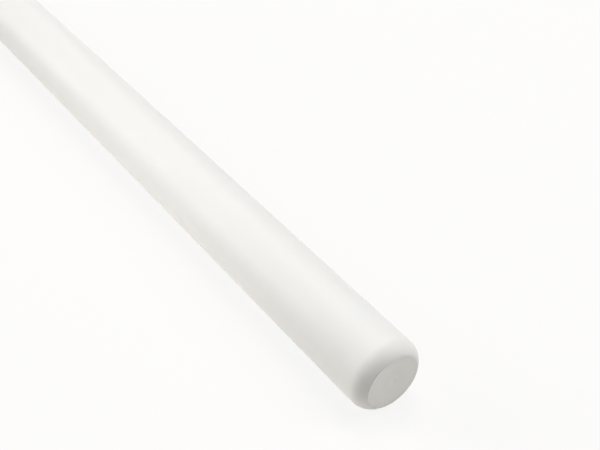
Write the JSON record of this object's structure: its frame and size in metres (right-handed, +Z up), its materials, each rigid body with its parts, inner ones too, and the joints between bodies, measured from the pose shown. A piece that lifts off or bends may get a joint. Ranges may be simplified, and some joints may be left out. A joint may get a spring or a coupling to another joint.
{
  "type": "fondant rolling pin",
  "caption": "Handleless fondant rolling pin: a smooth, hollow white plastic barrel with rounded rims, closed at each end by a flat-faced plug that presses into the bore.",
  "frame": {"origin": "on the surface that the pin lies on, under the middle of its barrel", "axes": "+X along the barrel towards the right end plug, +Z up, +Y across the barrel"},
  "size_m": [0.4002, 0.025, 0.025],
  "materials": {
    "extruded_polyethylene": "satin white high-density polyethylene, extruded and polished at the rims",
    "moulded_polyethylene": "fine matt white polyethylene, injection moulded"
  },
  "bodies": {
    "barrel": {"barrel_tube": "extruded_polyethylene"},
    "right_plug": {"right_end_plug": "moulded_polyethylene"},
    "left_plug": {"left_end_plug": "moulded_polyethylene"}
  },
  "joints": [
    {"name": "right_plug_pull", "type": "slide", "parent": "barrel", "child": "right_plug", "axis": [1, 0, 0], "range_m": [0, 0.025]},
    {"name": "left_plug_pull", "type": "slide", "parent": "barrel", "child": "left_plug", "axis": [-1, 0, 0], "range_m": [0, 0.025]}
  ]
}
